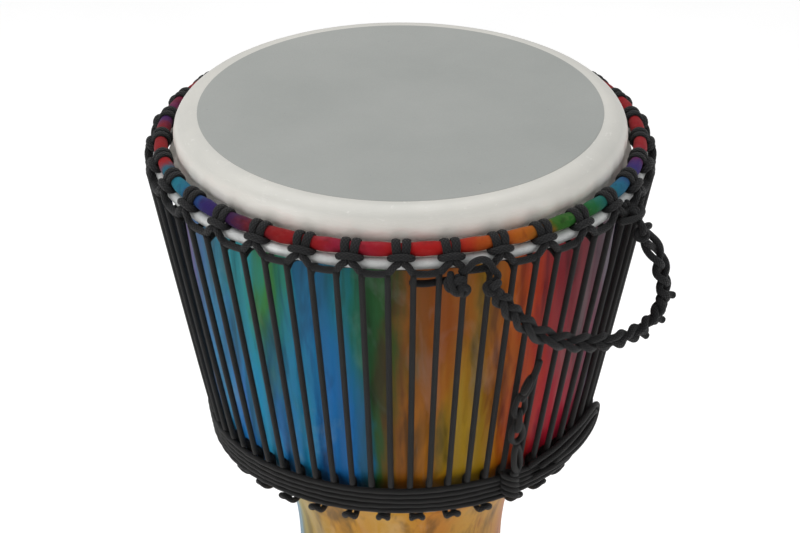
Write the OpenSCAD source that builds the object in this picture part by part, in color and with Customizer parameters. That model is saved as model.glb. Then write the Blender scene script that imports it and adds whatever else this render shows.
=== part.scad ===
// A rope-tuned djembe: goblet shell, film head on two steel rings, black cradle ropes and
// lacing, a waist wrap of surplus rope with its chained tail, and a plaited carrying handle.
// The drum stands on z = 0 with its axis on Z. Angles are measured from the front (-Y) towards +X.
// Depths are measured down from the playing face, unless a comment says otherwise.

/* [Overall] */
// Height from the floor to the playing face
drum_h = 600; // [580:5:640]
// Number of hitches round each ring
hitch_count = 32; // [28:4:32]

/* [Head] */
// Radius of the centre ply on the playing face
ply_r = 135; // [110:1:136]
// Radius of the flat of the head, where the bearing edge starts to round over
flat_r = 137.6; // [137:0.2:138]
// Radius of the film where it rolls over the bearing edge
roll_r = 13.6; // [13:0.2:13.8]
// Thickness of the head film
film_t = 0.6; // [0.4:0.1:0.8]
// Thickness of the centre ply
ply_t = 0.3; // [0.2:0.1:0.4]

/* [Shell] */
// Wall thickness of the shell
wall = 7; // [5:0.5:9]
// Outer radius of the foot
foot_r = 115; // [105:1:120]
// Outer radius of the narrowest part of the stem
stem_r = 70.5; // [68:0.5:73]
// Height of the rubber edging on the foot
foot_ring_h = 14; // [12:1:20]

/* [Rings] */
// Radius of the crown ring, to the middle of its bar
crown_r = 159.3; // [159.3:0.1:159.6]
// Depth of the crown ring below the playing face
crown_depth = 21.6; // [21.2:0.1:21.8]
// Radius of the flesh ring, to the middle of its bar
flesh_r = 161; // [160.8:0.1:161.2]
// Depth of the flesh ring below the playing face
flesh_depth = 30.9; // [30.8:0.1:31.4]
// Diameter of the steel bar of the two upper rings
bar_d = 6.8; // [6:0.2:6.8]
// Thickness of the cloth round the crown ring
cloth_t = 0.85; // [0.6:0.05:0.85]
// Radius of the bottom ring, to the middle of its bar
bottom_ring_r = 115; // [114.5:0.5:115.5]

/* [Ropes] */
// Diameter of the cradle and handle rope
cradle_rope_d = 4.8; // [4.4:0.1:4.8]
// Diameter of the lacing rope
lacing_rope_d = 4; // [3.4:0.1:4]
// Width of the plaited handle
plait_d = 12.5; // [10:0.5:13]
// Diameter of the chained tail
chain_d = 8.4; // [7:0.2:8.6]

/* [Hidden] */
$fn = 64;

// Running gaps between pieces
gap = 0.05;
// Sides of a swept rope, of the swept plait and of everything turned on a lathe
rope_sides = 8;
plait_sides = 10;
lathe_sides = 128;
// A direction that no swept rope follows, to hold its rings upright
up_hint = [0.31, 0.17, 1];

step = 360 / hitch_count;
film_top = ply_t;
roll_depth = film_top + roll_r;
cradle_r = cradle_rope_d / 2;
lacing_r = lacing_rope_d / 2;

// Half the spacing of the two turns of a hitch, and where the rope's legs and links run
turn_half = 2.7;
link_r = 167.5;
link_depth = 35.2;
leg_half = 2.6;
leg_depth = 31.2;
link_half = 8;
bight_r = 168.2;
bight_depth = 26.2;
// Arc that a turn covers round the crown ring, and how far past the bottom it starts
turn_arc = 265;
turn_start = 35;

// Bottom ring and the hitches and links on it
bottom_depth = 240.5;
bottom_bar_d = 6;
bottom_turn_half = 2.3;
bottom_bight_r = 121.6;
bottom_link_r = 119.5;
bottom_link_depth = 231;
bottom_link_half = 3;

// The lacing runs: two to a hitch
run_half_angle = step / 4;
lacing_back_r = 162.2;
lacing_back_depth = 37;
lacing_run = [[166.2, 45], [133.3, 203], [127.1, 213.5], [124.3, 232.5]];

// Waist wrap
wrap_top_depth = 215.5;
wrap_pitch = 4.1;
wrap_top_r = 131.1;
wrap_taper = 0.75;

// Handle: where its two knots sit, [angle, radius, depth], which is also its hinge line
knot_front = [18, 178.6, 46.5];
knot_side = [61.5, 178.6, 46.5];
handle_knot_r = 6.6;
// The middle of a tie's loop, the size of its path, the arc it covers and where that starts
tie_r = 167.85;
tie_depth = 35.7;
tie_path_r = 5.5;
tie_start = 183;
tie_arc = 249;
// Route of the plaited handle between them
handle_route = [
    knot_front, [20.5, 180, 54.5], [24, 180, 67], [29, 179, 83], [36, 179, 96],
    [44, 180, 105], [51, 182, 111], [58, 185, 113], [63.5, 188, 108], [66, 189, 98],
    [66, 188, 84], [65, 185.5, 69], [63, 180.8, 56], knot_side
];

// The two crossed turns of the knot on the wrap, and its rope's width
wrap_knot_turns = [
    [[32.4, 137.4, 214], [35.6, 135.2, 231]],
    [[35.6, 137.8, 215], [32.2, 135.6, 229]]
];
wrap_knot_d = 7;
// Route of the chained tail, from the wrap knot up to its tip
chain_route = [
    [34, 138.6, 210], [32.4, 142.6, 191], [31.3, 147, 172], [31, 149.7, 160], [31.4, 152.7, 143],
    [34.8, 157.2, 122]
];

// The knot that closes the cradle rope: its ball, the neck that joins it to the link, and its tail
cradle_knot_angle = step + 0.7;
cradle_knot_r = 6.8;
cradle_knot_place = [cradle_knot_angle, 173.5, 46];
cradle_knot_neck = [cradle_knot_angle, 172.4, 35.5];
cradle_tail_ends = [[step - 0.9, 160.8, 47], [step * 0.31, 160.3, 46.5]];

// Outer outline of the shell below the bead, [radius, depth], to the stem
bowl_outline = [
    [147.5, 24], [146.5, 60], [141.3, 100], [133.8, 150], [126.3, 195], [122.4, 214], [116.4, 226],
    [108.5, 235], [101, 244], [93, 254], [84.5, 268], [77, 286]
];
// Share of the stem's length, and of its flare, at each point from the waist to the foot
foot_share = [[0, 0], [0.16, 0.04], [0.34, 0.15], [0.53, 0.33], [0.72, 0.58], [0.88, 0.84], [1, 1]];
stem_depth = 335;
throat_depth = 306;
foot_pad_t = 3;
shell_bottom_depth = drum_h - foot_pad_t;
stem_outline = [
    for (s = foot_share)
        [stem_r + s[1] * (foot_r - stem_r), stem_depth + s[0] * (shell_bottom_depth - stem_depth)]
];
outline = concat(bowl_outline, [[stem_r + 2, throat_depth]], stem_outline);

// ---------------------------------------------------------------- functions

// A point of the drum at an angle from the front, a radius and a depth
function at(angle, r, depth) = [r * sin(angle), -r * cos(angle), drum_h - depth];
function at_place(q) = at(q[0], q[1], q[2]);

// A point offset sideways by t millimetres from an angle
function beside(angle, t, r, depth) = at(angle + t / r * 180 / PI, r, depth);

// Catmull-Rom curve through a list of points
function between(a, b, c, d, t) =
    0.5 * (2 * b + (c - a) * t + (2 * a - 5 * b + 4 * c - d) * t * t + (3 * b - a - 3 * c + d) * t * t * t);
function pick(p, i) = p[max(0, min(len(p) - 1, i))];
function smooth(p, n) = concat(
    [
        for (i = [0:len(p) - 2], j = [0:n - 1])
            between(pick(p, i - 1), p[i], p[i + 1], pick(p, i + 2), j / n)
    ],
    [p[len(p) - 1]]
);

// Points on an arc, [radius, depth], from one angle to another; 0 points outward and 90 up
function arc(r, depth, radius, from, to, n) =
    [for (i = [0:n]) let (a = from + (to - from) * i / n) [r + radius * cos(a), depth - radius * sin(a)]];

// An outline moved sideways by a distance, towards its right hand when read downwards
function inset(p, d) = [
    for (i = [0:len(p) - 1])
        let (v = pick(p, i + 1) - pick(p, i - 1)) p[i] + d / norm(v) * [-v[1], v[0]]
];
function reversed(p) = [for (i = [len(p) - 1:-1:0]) p[i]];

// An outline of radius and depth turned into one of radius and height
function raised(p) = [for (q = p) [q[0], drum_h - q[1]]];

// The shell's outer surface from the bead down to the foot
shell_outer = smooth(outline, 5);

// ---------------------------------------------------------------- shared modules

// A solid of revolution from an outline of radius and depth
module lathe(p) {
    rotate_extrude($fn = lathe_sides) polygon(raised(p));
}

// A closed ring of round bar
module bar_ring(r, depth, d) {
    translate([0, 0, drum_h - depth])
        rotate_extrude($fn = lathe_sides)
            translate([r, 0])
                circle(d = d);
}

// A hollow sleeve round a ring, left open by a narrow seam at the back
module sleeve_ring(r, depth, d_in, d_out) {
    seam = 0.4;
    translate([0, 0, drum_h - depth])
        rotate([0, 0, 90 + seam / 2])
            rotate_extrude(angle = 360 - seam, $fn = lathe_sides)
                translate([r, 0])
                    difference() {
                        circle(d = d_out);
                        circle(d = d_in);
                    }
}

// A straight stretch of rope
module rod(p, q, d) {
    v = q - p;
    translate(p)
        rotate([0, acos(v[2] / norm(v)), atan2(v[1], v[0])])
            cylinder(h = norm(v), d = d);
}

// One turn of rope round a ring's bar: an arc from a start angle, with 0 below the bar and 90 inside it
module turn(angle, t, r, depth, path_r, d, start, sweep) {
    rotate([0, 0, angle + t / r * 180 / PI])
        translate([0, -r, drum_h - depth])
            rotate([0, 90, 0])
                rotate([0, 0, start])
                    rotate_extrude(angle = sweep) translate([path_r, 0]) circle(d = d);
}

// Rings of points round a route, for a swept tube
function side_of(v) = let (s = cross(v, up_hint)) s / norm(s);
function ring_at(p, i, radius, sides) =
    let (
        v = (pick(p, i + 1) - pick(p, i - 1)) / norm(pick(p, i + 1) - pick(p, i - 1)),
        s = side_of(v),
        u = cross(s, v)
    )
    [for (k = [0:sides - 1]) p[i] + radius * (cos(k * 360 / sides) * s + sin(k * 360 / sides) * u)];

// A rope swept as one closed tube along its route
module swept(p, d, sides) {
    n = len(p);
    points = [for (i = [0:n - 1]) each ring_at(p, i, d / 2, sides)];
    walls = [
        for (i = [0:n - 2], k = [0:sides - 1])
            let (a = i * sides + k, b = i * sides + (k + 1) % sides)
            each [[a, b, b + sides], [a, b + sides, a + sides]]
    ];
    caps = [[for (k = [sides - 1:-1:0]) k], [for (k = [0:sides - 1]) (n - 1) * sides + k]];
    polyhedron(points, concat(walls, caps));
}

// ---------------------------------------------------------------- shell and foot

module shell() {
    bead_r = roll_r - film_t - gap;
    bead_end = -40;
    lip = 131;
    rim_inner = 128;
    rim_top = 4;
    rim_thick = 14;
    rim_bottom = 46;
    foot_bevel = 4;
    inner_wall = [
        for (q = inset(shell_outer, wall))
            if (q[1] > rim_bottom && q[1] < shell_bottom_depth - foot_bevel) q
    ];
    color("goldenrod")
        lathe(concat(
            [[lip, roll_depth - bead_r]],
            arc(flat_r, roll_depth, bead_r, 90, bead_end, 13),
            shell_outer,
            [[foot_r - wall, shell_bottom_depth]],
            reversed(inner_wall),
            [[rim_inner, rim_thick], [rim_inner, rim_top]]
        ));
}

module foot_ring() {
    thick = 3;
    corner = 0.6;
    wall_edge = [for (q = shell_outer) if (q[1] > drum_h - foot_ring_h) q];
    color("dimgray")
        lathe(concat(
            inset(wall_edge, -thick),
            [
                [foot_r + thick, drum_h - corner], [foot_r + thick - corner, drum_h],
                [foot_r - wall, drum_h], [foot_r - wall, shell_bottom_depth + gap],
                [foot_r + gap, shell_bottom_depth + gap]
            ],
            reversed(inset(wall_edge, -gap))
        ));
}

// ---------------------------------------------------------------- head

module drumhead() {
    turned_in = -10;
    color("whitesmoke")
        lathe(concat(
            [[0, film_top + film_t], [0, film_top]],
            arc(flat_r, roll_depth, roll_r, 90, turned_in, 10),
            arc(flat_r, roll_depth, roll_r - film_t, turned_in, 90, 10)
        ));
}

module head_centre_ply() {
    color("darkgray")
        translate([0, 0, drum_h - ply_t])
            cylinder(r = ply_r, h = ply_t, $fn = lathe_sides);
}

// The film below the bead: down behind the hitches, then out to the flesh ring's cover
module drumhead_skirt() {
    from = -13;
    to = -38;
    fold = [[148.6, 26], [149.3, 30], [151.6, 33], [155.5, 34.6]];
    line = concat(arc(flat_r, roll_depth, roll_r + gap, from, to, 4), smooth(fold, 3));
    color("gainsboro") lathe(concat(line, reversed(inset(line, film_t))));
}

// ---------------------------------------------------------------- tuning rings

module crown_ring() {
    color("silver") bar_ring(crown_r, crown_depth, bar_d);
}

module crown_ring_cloth() {
    color("crimson") sleeve_ring(crown_r, crown_depth, bar_d + 2 * gap, bar_d + 2 * cloth_t);
}

module flesh_ring() {
    color("silver") bar_ring(flesh_r, flesh_depth, bar_d);
}

module flesh_ring_cover() {
    color("white") sleeve_ring(flesh_r, flesh_depth, bar_d + 2 * gap, bar_d + 2 * film_t);
}

// A cow hitch: two turns over the crown ring, joined in front by a short bight
module top_hitch(angle) {
    path_r = bar_d / 2 + cloth_t + cradle_r + gap;
    bight_half = turn_half + cradle_r;
    for (side = [-1, 1])
        turn(
            angle, side * turn_half, crown_r, crown_depth,
            path_r, cradle_rope_d, turn_start, turn_arc
        );
    rod(
        beside(angle, -bight_half, bight_r, bight_depth),
        beside(angle, bight_half, bight_r, bight_depth),
        cradle_rope_d
    );
}

module top_hitches() {
    color("black") for (k = [0:hitch_count - 1]) top_hitch(k * step);
}

// The cradle rope from one hitch to the next: a leg down, a link across and a leg up
module top_links() {
    color("black")
        for (k = [0:hitch_count - 1])
            swept([
                beside(k * step, leg_half, link_r + 0.1, leg_depth),
                beside(k * step, link_half, link_r, link_depth),
                beside((k + 1) * step, -link_half, link_r, link_depth),
                beside((k + 1) * step, -leg_half, link_r + 0.1, leg_depth)
            ], cradle_rope_d, rope_sides);
}

// The knot that closes the cradle rope, below the hitch right of the front
module cradle_knot() {
    ball = at_place(cradle_knot_place);
    color("black") {
        translate(ball) sphere(r = cradle_knot_r);
        rod(ball, at_place(cradle_knot_neck), cradle_rope_d);
    }
}

module cradle_tail() {
    color("black") rod(at_place(cradle_tail_ends[0]), at_place(cradle_tail_ends[1]), cradle_rope_d);
}

// ---------------------------------------------------------------- lacing and bottom ring

module bottom_ring() {
    color("silver") bar_ring(bottom_ring_r, bottom_depth, bottom_bar_d);
}

module bottom_hitch(angle) {
    path_r = bottom_bar_d / 2 + lacing_r + gap;
    bight_half = bottom_turn_half + lacing_r;
    start = -85;
    sweep = 255;
    for (side = [-1, 1])
        turn(
            angle, side * bottom_turn_half, bottom_ring_r, bottom_depth,
            path_r, lacing_rope_d, start, sweep
        );
    rod(
        beside(angle, -bight_half, bottom_bight_r, bottom_depth),
        beside(angle, bight_half, bottom_bight_r, bottom_depth),
        lacing_rope_d
    );
}

module bottom_hitches() {
    color("black") for (k = [0:hitch_count - 1]) bottom_hitch((k + 0.5) * step);
}

module bottom_links() {
    color("black")
        for (k = [0:hitch_count - 1])
            rod(
                beside((k + 0.5) * step, bottom_link_half, bottom_link_r, bottom_link_depth),
                beside((k + 1.5) * step, -bottom_link_half, bottom_link_r, bottom_link_depth),
                lacing_rope_d
            );
}

// One loop of lacing: up a run, across behind the cradle rope, and down the next run
module lacing_loop(angle) {
    left = angle - run_half_angle;
    right = angle + run_half_angle;
    swept(concat(
        [for (q = reversed(lacing_run)) at(left, q[0], q[1])],
        [at(left, lacing_back_r, lacing_back_depth), at(right, lacing_back_r, lacing_back_depth)],
        [for (q = lacing_run) at(right, q[0], q[1])]
    ), lacing_rope_d, rope_sides);
}

module lacing() {
    color("black") for (k = [0:hitch_count - 1]) lacing_loop(k * step);
}

// ---------------------------------------------------------------- waist wrap and tail

module wrap_turn(i) {
    color("black") bar_ring(wrap_top_r - wrap_taper * i, wrap_top_depth + wrap_pitch * i, lacing_rope_d);
}

module wrap_turn_1() { wrap_turn(0); }
module wrap_turn_2() { wrap_turn(1); }
module wrap_turn_3() { wrap_turn(2); }
module wrap_turn_4() { wrap_turn(3); }
module wrap_turn_5() { wrap_turn(4); }

// The knot that ties the tail to the wrap
module wrap_knot() {
    color("black") for (q = wrap_knot_turns) rod(at_place(q[0]), at_place(q[1]), wrap_knot_d);
}

module tail_chain() {
    color("black") swept([for (q = chain_route) at_place(q)], chain_d, rope_sides);
}

// ---------------------------------------------------------------- handle

// The loop that ties the handle to a link, open towards the flesh ring
module handle_tie(angle) {
    color("black")
        turn(angle, 0, tie_r, tie_depth, tie_path_r, cradle_rope_d, tie_start, tie_arc);
}

module handle_tie_front() { handle_tie(knot_front[0]); }
module handle_tie_side() { handle_tie(knot_side[0]); }

module handle_knot(place) {
    color("black") translate(at_place(place)) sphere(r = handle_knot_r);
}

module handle_knot_front() { handle_knot(knot_front); }
module handle_knot_side() { handle_knot(knot_side); }

module handle_plait() {
    color("black") swept(smooth([for (q = handle_route) at_place(q)], 2), plait_d, plait_sides);
}

shell();
foot_ring();
drumhead();
head_centre_ply();
drumhead_skirt();
crown_ring();
crown_ring_cloth();
flesh_ring();
flesh_ring_cover();
top_hitches();
top_links();
cradle_knot();
cradle_tail();
bottom_ring();
bottom_hitches();
bottom_links();
lacing();
wrap_turn_1();
wrap_turn_2();
wrap_turn_3();
wrap_turn_4();
wrap_turn_5();
wrap_knot();
tail_chain();
handle_tie_front();
handle_tie_side();
handle_knot_front();
handle_knot_side();
handle_plait();
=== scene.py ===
"""The looks of a rope-tuned djembe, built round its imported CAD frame.

Outlines and routes are lists of [angle, radius, depth] or [radius, depth]: angles in degrees from the
front (-Y) towards +X, radii and depths below the playing face in millimetres. Meshes are in metres.
"""

import math

import bmesh
import bpy
import numpy as np
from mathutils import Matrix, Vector


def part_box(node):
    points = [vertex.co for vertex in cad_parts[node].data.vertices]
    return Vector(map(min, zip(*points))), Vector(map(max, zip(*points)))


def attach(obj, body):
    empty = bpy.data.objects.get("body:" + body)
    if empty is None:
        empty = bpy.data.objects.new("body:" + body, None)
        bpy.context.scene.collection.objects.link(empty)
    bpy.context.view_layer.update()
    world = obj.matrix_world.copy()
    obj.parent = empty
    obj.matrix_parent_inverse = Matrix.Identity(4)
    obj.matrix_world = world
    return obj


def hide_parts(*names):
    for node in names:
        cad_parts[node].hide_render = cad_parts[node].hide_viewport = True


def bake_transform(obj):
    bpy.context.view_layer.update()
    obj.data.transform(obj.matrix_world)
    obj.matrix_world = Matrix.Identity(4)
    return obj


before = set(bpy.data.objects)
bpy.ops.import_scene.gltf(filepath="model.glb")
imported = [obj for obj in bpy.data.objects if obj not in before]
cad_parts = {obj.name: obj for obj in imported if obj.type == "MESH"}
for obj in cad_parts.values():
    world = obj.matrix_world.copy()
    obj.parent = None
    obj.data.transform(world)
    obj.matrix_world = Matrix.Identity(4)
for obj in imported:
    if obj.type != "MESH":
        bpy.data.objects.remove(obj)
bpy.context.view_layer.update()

MM = 0.001
SEED = 11
HITCHES = 32
STEP = 360 / HITCHES

# -------- sizes taken from the frame


def ring_of(node):
    """Radius to the middle of a ring's bar, depth and bar radius, in millimetres."""
    low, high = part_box(node)
    bar = (high.z - low.z) / 2
    return (high.x - bar) / MM, (HEAD_Z - (high.z + low.z) / 2) / MM, bar / MM


HEAD_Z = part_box("head_centre_ply")[1].z
PLY_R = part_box("head_centre_ply")[1].x / MM
CROWN_R, CROWN_DEPTH, _ = ring_of("crown_ring")
FLESH_R, FLESH_DEPTH, _ = ring_of("flesh_ring")
CLOTH_R = ring_of("crown_ring_cloth")[2]
COVER_R = ring_of("flesh_ring_cover")[2]
WRAPS = [ring_of(f"wrap_turn_{i}") for i in range(1, 6)]
LACING_ROPE_R = WRAPS[0][2]

# -------- sizes the frame doesn't give

CRADLE_ROPE_R = 2.4
KNOT_ROPE_R = 2.35
PLY_T = 0.3
FILM_T = 0.6
FILM_SIDES = 512
RING_STEPS = 1024

# -------- points and curves


def at(angle, radius, depth):
    """A point of the drum, in metres."""
    a = math.radians(angle)
    return np.array((radius * math.sin(a), -radius * math.cos(a), HEAD_Z / MM - depth)) * MM


def once_round(count):
    """Evenly spaced angles once round, in radians."""
    return np.arange(count) / count * 2 * math.pi


def circle(angles, radii, depths):
    """Points of the drum at angles in radians, in metres."""
    return np.stack([radii * np.sin(angles), -radii * np.cos(angles), HEAD_Z / MM - depths], axis=1) * MM


def beside(angle, aside, radius, depth):
    """A point set off sideways by so many millimetres from an angle."""
    return at(angle + math.degrees(aside / radius), radius, depth)


def route(places):
    """A list of [angle, radius, depth] as points in metres."""
    return np.array([at(*p) for p in places])


def smooth(points, count, closed=False):
    """A Catmull-Rom curve through points, with count steps to a span."""
    p = np.asarray(points, float)
    n = len(p)
    spans = n if closed else n - 1
    t = np.arange(count)[:, None] / count
    made = []
    for i in range(spans):
        if closed:
            a, b, c, d = p[i - 1], p[i], p[(i + 1) % n], p[(i + 2) % n]
        else:
            a, b, c, d = p[max(i - 1, 0)], p[i], p[i + 1], p[min(i + 2, n - 1)]
        cubic = 3 * b - a - 3 * c + d
        made.append(0.5 * (2 * b + (c - a) * t + (2 * a - 5 * b + 4 * c - d) * t**2 + cubic * t**3))
    if not closed:
        made.append(p[-1:])
    return np.vstack(made)


def length_of(points):
    """The length of a line of points."""
    return float(np.linalg.norm(np.diff(points, axis=0), axis=1).sum())


def spaced(points, spacing):
    """The same open line with evenly spaced points."""
    s = np.concatenate([[0], np.cumsum(np.linalg.norm(np.diff(points, axis=0), axis=1))])
    wanted = np.linspace(0, s[-1], max(2, int(round(s[-1] / spacing)) + 1))
    return np.column_stack([np.interp(wanted, s, points[:, k]) for k in range(3)])


def frames(points, closed=False):
    """Directions along a line and two directions across it that don't twist."""
    p = np.asarray(points, float)
    if closed:
        along = np.roll(p, -1, axis=0) - np.roll(p, 1, axis=0)
    else:
        along = np.gradient(p, axis=0)
    along /= np.linalg.norm(along, axis=1)[:, None]
    first = np.cross(along[0], (0.31, 0.17, 1.0))
    side = [first / np.linalg.norm(first)]
    for v in along[1:]:
        s = side[-1] - np.dot(side[-1], v) * v
        side.append(s / np.linalg.norm(s))
    side = np.array(side)
    if closed:
        end = side[-1] - np.dot(side[-1], along[0]) * along[0]
        up = np.cross(along[0], side[0])
        twist = -math.atan2(np.dot(end, up), np.dot(end, side[0]))
        turn = (np.arange(len(p)) / len(p) * twist)[:, None]
        side = side * np.cos(turn) + np.cross(along, side) * np.sin(turn)
    return along, side, np.cross(along, side)


def bumpy(angles, waves, rng):
    """A smooth closed function of the angle in radians, between about -1 and 1, with so many waves."""
    total = np.zeros_like(angles)
    for k in range(max(1, waves // 2), waves + 1):
        total += rng.normal() * np.cos(k * angles) + rng.normal() * np.sin(k * angles)
    return total / (np.abs(total).max() + 1e-9)


# -------- meshes


class Surface:
    """Gathers grids of points into one mesh with a UV map."""

    def __init__(self):
        self.points = []
        self.faces = []
        self.uvs = []
        self.slots = []
        self.count = 0

    def grid(self, points, rows_uv, cols_uv, rows_closed=False, caps=False, slot=0):
        """points[row, column], closed along each row; there is one UV value more than points both ways."""
        rows, cols = points.shape[:2]
        i = np.arange(rows if rows_closed else rows - 1)
        i, j = (x.ravel() for x in np.meshgrid(i, np.arange(cols), indexing="ij"))
        i2, j2 = (i + 1) % rows, (j + 1) % cols
        quads = np.stack([i * cols + j, i * cols + j2, i2 * cols + j2, i2 * cols + j], axis=1)
        u0, u1, v0, v1 = cols_uv[j], cols_uv[j + 1], rows_uv[i], rows_uv[i + 1]
        corners = np.stack([u0, v0, u1, v0, u1, v1, u0, v1], axis=1).reshape(-1, 2)
        self.points.append(points.reshape(-1, 3))
        self.faces += (quads + self.count).tolist()
        self.uvs.append(corners)
        if caps:
            for row in (0, rows - 1):
                self.faces.append([self.count + row * cols + k for k in range(cols)])
                self.uvs.append(np.full((cols, 2), rows_uv[row]))
        self.slots += [slot] * (len(quads) + 2 * caps)
        self.count += rows * cols

    def tube(self, line, radius, sides=12, closed=False, press=None):
        """A rope along a line in metres, its radius in millimetres, with rounded open ends.

        press is a direction and a share of its thickness for each point: the rope is squashed that way.
        """
        line = np.asarray(line, float)
        r = np.broadcast_to(np.asarray(radius, float) * MM, len(line)).copy()
        if not closed:
            line, r = rounded_ends(line, r)
        _, side, up = frames(line, closed)
        turn = once_round(sides)
        ring = side[:, None] * np.cos(turn)[None, :, None] + up[:, None] * np.sin(turn)[None, :, None]
        if press is not None:
            away, share = press
            squash = (1 - share)[:, None, None] * away[:, None]
            ring = ring - (ring * away[:, None]).sum(2, keepdims=True) * squash
        girth = 2 * math.pi * r.max()
        steps = np.linalg.norm(np.diff(np.vstack([line, line[:1]]), axis=0), axis=1)
        along = np.concatenate([[0], np.cumsum(steps)]) / girth
        around = np.arange(sides + 1) / sides
        points = line[:, None] + ring * r[:, None, None]
        self.grid(points, along, around, rows_closed=closed, caps=not closed)

    def make(self, name, *materials, hard=None):
        """One object of everything gathered, smooth shaded, with edges sharp past hard degrees."""
        mesh = bpy.data.meshes.new(name)
        mesh.from_pydata(np.vstack(self.points).tolist(), [], self.faces)
        layer = mesh.uv_layers.new(name="surface")
        layer.data.foreach_set("uv", np.vstack(self.uvs).astype(np.float32).ravel())
        mesh.polygons.foreach_set("material_index", self.slots)
        face_outward(mesh)
        mesh.shade_smooth()
        if hard is not None:
            mesh.set_sharp_from_angle(angle=math.radians(hard))
        for material in materials:
            mesh.materials.append(material)
        return in_scene(name, mesh)


def face_outward(mesh, merge=None):
    """Points a mesh's faces outward, after joining points closer than merge metres."""
    work = bmesh.new()
    work.from_mesh(mesh)
    if merge is not None:
        bmesh.ops.remove_doubles(work, verts=work.verts, dist=merge)
    bmesh.ops.recalc_face_normals(work, faces=work.faces)
    work.to_mesh(mesh)
    work.free()


def in_scene(name, data):
    """A new object of a mesh, camera or light, linked into the scene."""
    made = bpy.data.objects.new(name, data)
    bpy.context.scene.collection.objects.link(made)
    return made


def rounded_ends(line, r):
    """A line and its radii with three shrinking rings past each end."""
    close = np.radians((30, 60, 84))
    out_a = line[0] - line[1]
    out_b = line[-1] - line[-2]
    out_a /= np.linalg.norm(out_a)
    out_b /= np.linalg.norm(out_b)
    reach = 0.7
    start = [line[0] + out_a * r[0] * reach * math.sin(c) for c in close[::-1]]
    end = [line[-1] + out_b * r[-1] * reach * math.sin(c) for c in close]
    shrink = np.cos(close)
    radii = np.concatenate([r[0] * shrink[::-1], r, r[-1] * shrink])
    return np.vstack([start, line, end]), radii


def ropes(name, lines, radius, material, sides=12):
    """One object of several open ropes, each a line in metres."""
    surface = Surface()
    for line in lines:
        surface.tube(line, radius, sides)
    return surface.make(name, material)


def lathe(surface, outline, sides=256, closed=True, move=None, slot=0):
    """Adds an outline of [radius, depth] turned round the axis; move(angles, radii, depths) bends a row."""
    line = np.asarray(outline, float)
    turns = once_round(sides)
    rows = []
    for r, d in line:
        radii, depths = np.full(sides, r), np.full(sides, d)
        if move is not None:
            radii, depths = move(turns, radii, depths)
        rows.append(circle(turns, radii, depths))
    looped = np.vstack([line, line[:1]])
    rows_uv = np.concatenate([[0], np.cumsum(np.linalg.norm(np.diff(looped, axis=0), axis=1))]) * MM
    cols_uv = np.arange(sides + 1) / sides * 2 * math.pi * line[:, 0].max() * MM
    surface.grid(np.array(rows), rows_uv, cols_uv, rows_closed=closed, slot=slot)


def arc(radius, depth, size, start, end, count):
    """Points on an arc, [radius, depth]; 0 degrees points outward and 90 up."""
    turns = np.radians(np.linspace(start, end, count + 1))
    return [[radius + size * math.cos(t), depth - size * math.sin(t)] for t in turns]


def inset(line, distance):
    """An outline moved inward, read downwards."""
    line = np.asarray(line, float)
    along = np.gradient(line, axis=0)
    along /= np.linalg.norm(along, axis=1)[:, None]
    return line + distance * np.column_stack([-along[:, 1], along[:, 0]])


def flat(points):
    """An outline smoothed in its plane."""
    return smooth(np.column_stack([points, np.zeros(len(points))]), 6)[:, :2]


# -------- material building blocks


def colour(code):
    """A hex colour as the linear values that Blender takes."""
    srgb = [int(code[i : i + 2], 16) / 255 for i in (0, 2, 4)]
    return (*[c / 12.92 if c <= 0.04045 else ((c + 0.055) / 1.055) ** 2.4 for c in srgb], 1.0)


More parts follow.
